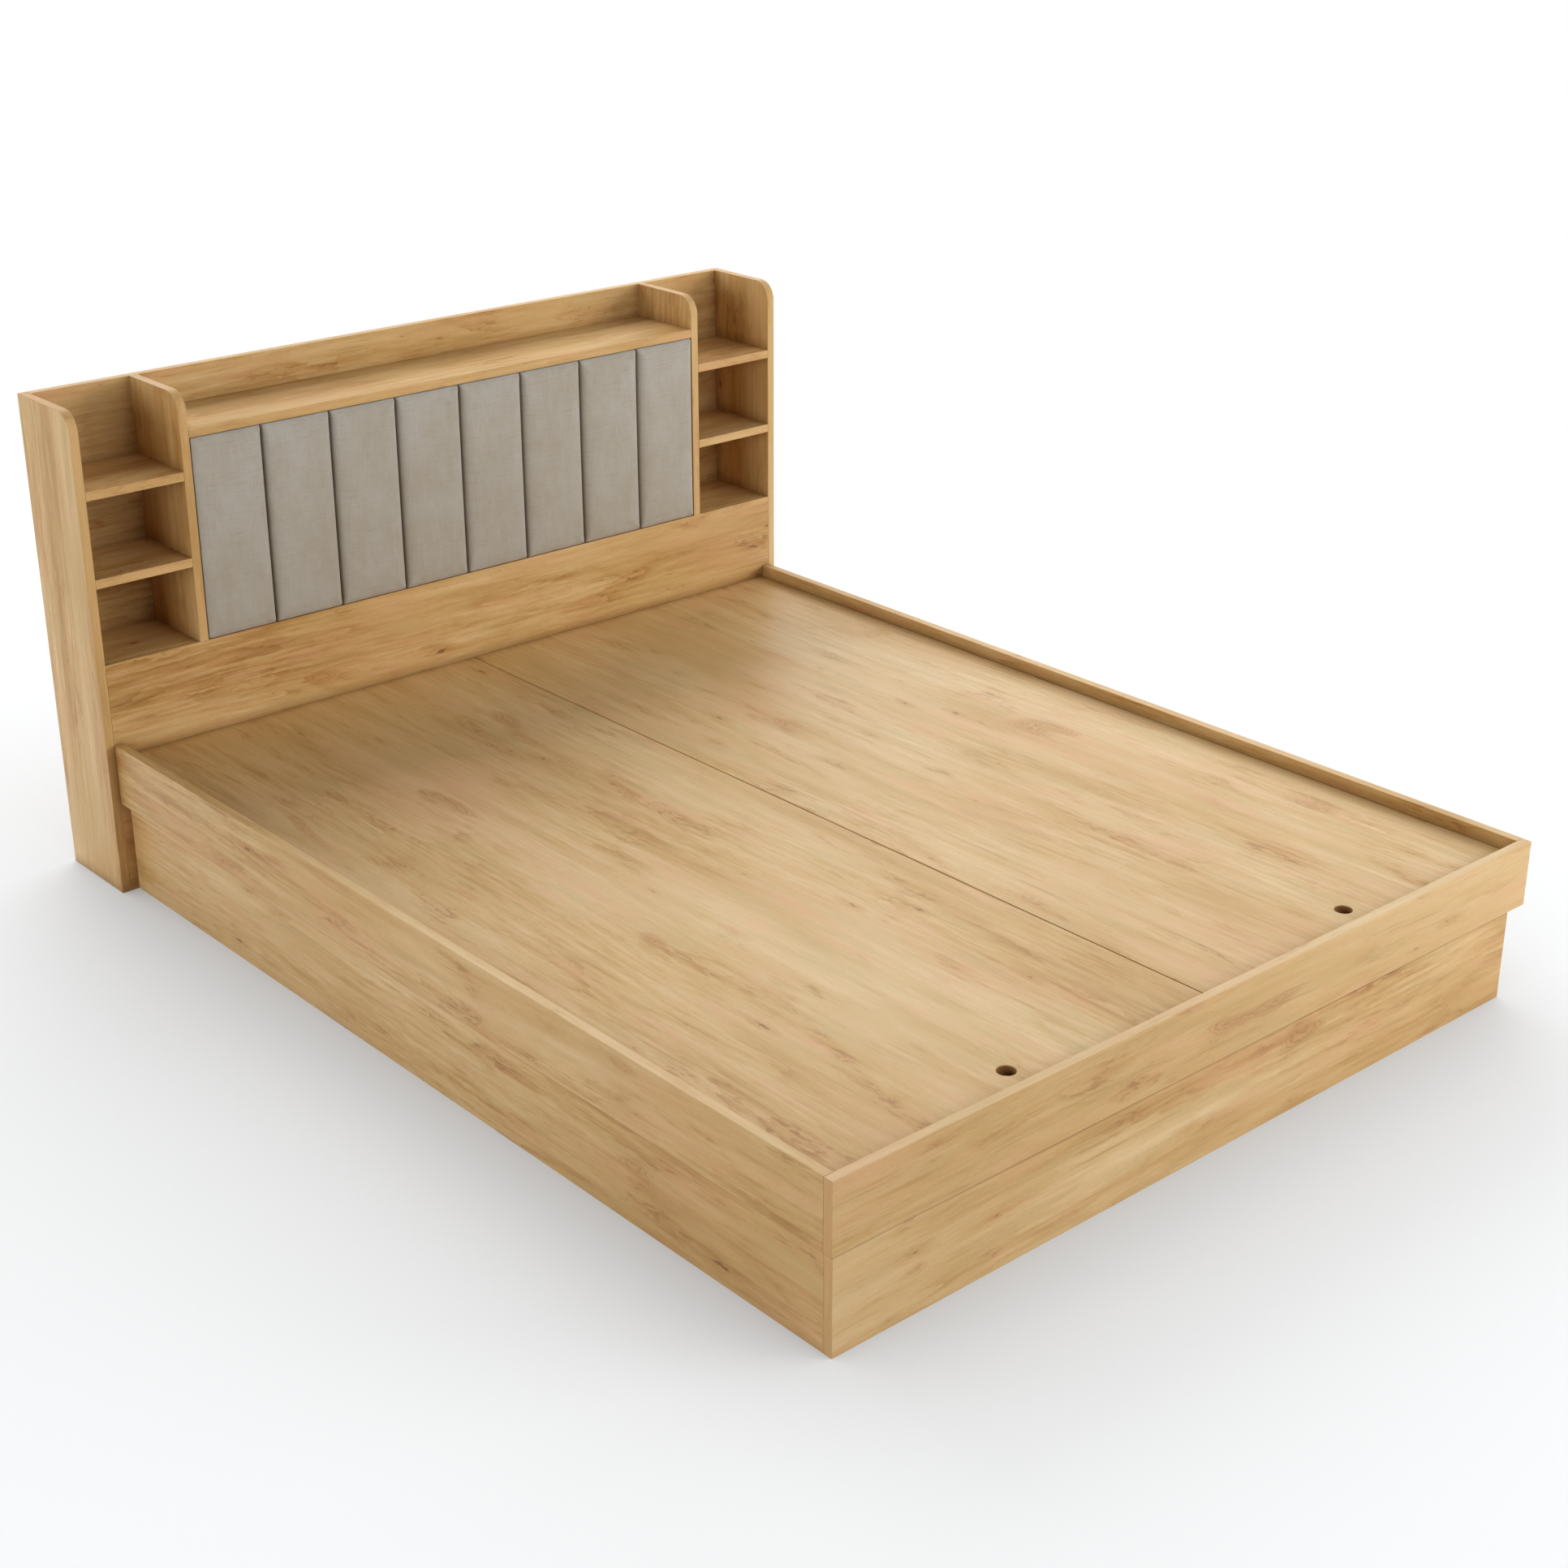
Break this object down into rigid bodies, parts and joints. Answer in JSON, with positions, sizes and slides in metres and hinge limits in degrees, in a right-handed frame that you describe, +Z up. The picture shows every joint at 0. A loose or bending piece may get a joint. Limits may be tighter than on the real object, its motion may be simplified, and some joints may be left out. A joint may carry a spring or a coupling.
{
  "type": "upholstered storage bed",
  "caption": "Storage bed with a bookcase headboard: padded fabric channels, open cubbies each side and a ledge, and lids that tilt up from the foot over storage bays.",
  "frame": {"origin": "middle of the outline on the floor", "axes": "+X across the bed to the right seen from the foot, +Y along the bed to the headboard, +Z up"},
  "size_m": [1.692, 2.238, 0.96],
  "materials": {
    "oak_laminate": "matt natural oak laminate on particle board, fine straight grain",
    "upholstery": "woven warm grey linen-look fabric",
    "plywood": "raw plywood",
    "softwood": "planed softwood batten",
    "beech": "fluted beech dowel",
    "zinc_steel": "zinc plated pressed sheet",
    "screw_steel": "zinc plated screw",
    "hinge_steel": "plated butt hinge",
    "cam_zinc": "die-cast zinc cam"
  },
  "bodies": {
    "bed_frame": {"box_floor_left": "plywood", "box_floor_right": "plywood", "box_foot_panel": "oak_laminate", "box_head_panel": "oak_laminate", "box_side_left": "oak_laminate", "box_side_right": "oak_laminate", "cam_bolts": "screw_steel", "cam_locks": "cam_zinc", "centre_bearer": "oak_laminate", "centre_partition": "oak_laminate", "channel_pad_1": "upholstery", "channel_pad_2": "upholstery", "channel_pad_3": "upholstery", "channel_pad_4": "upholstery", "channel_pad_5": "upholstery", "channel_pad_6": "upholstery", "channel_pad_7": "upholstery", "channel_pad_8": "upholstery", "corner_brackets": "zinc_steel", "cross_partition_left": "oak_laminate", "cross_partition_right": "oak_laminate", "floor_cleat_left_inner": "softwood", "floor_cleat_left_outer": "softwood", "floor_cleat_right_inner": "softwood", "floor_cleat_right_outer": "softwood", "head_panel_hinge_screws": "screw_steel", "headboard_back_panel": "oak_laminate", "headboard_divider_left": "oak_laminate", "headboard_divider_right": "oak_laminate", "headboard_front_board": "oak_laminate", "headboard_ledge_shelf": "oak_laminate", "headboard_side_left": "oak_laminate", "headboard_side_right": "oak_laminate", "lid_left_fixed_leaves": "hinge_steel", "lid_left_hinge_pins": "hinge_steel", "lid_right_fixed_leaves": "hinge_steel", "lid_right_hinge_pins": "hinge_steel", "pad_board_cleat_left": "softwood", "pad_board_cleat_right": "softwood", "pad_cores": "plywood", "pad_mounting_board": "plywood", "rail_foot": "oak_laminate", "rail_left": "oak_laminate", "rail_right": "oak_laminate", "shelf_dowels": "beech", "short_screws": "screw_steel", "tower_left_floor_shelf": "oak_laminate", "tower_left_lower_shelf": "oak_laminate", "tower_left_upper_shelf": "oak_laminate", "tower_right_floor_shelf": "oak_laminate", "tower_right_lower_shelf": "oak_laminate", "tower_right_upper_shelf": "oak_laminate", "wood_screws": "screw_steel"},
    "lid_left": {"lid_left": "oak_laminate", "lid_left_moving_leaves": "hinge_steel", "lid_left_leaf_screws": "screw_steel"},
    "lid_right": {"lid_right": "oak_laminate", "lid_right_moving_leaves": "hinge_steel", "lid_right_leaf_screws": "screw_steel"}
  },
  "joints": [
    {"name": "lid_left_tilt", "type": "hinge", "parent": "bed_frame", "child": "lid_left", "pos_m": [-0.40487, 0.856, 0.2675], "axis": [-1, 0, 0], "range_deg": [0, 93]},
    {"name": "lid_right_tilt", "type": "hinge", "parent": "bed_frame", "child": "lid_right", "pos_m": [0.40487, 0.856, 0.2675], "axis": [-1, 0, 0], "range_deg": [0, 93]}
  ]
}
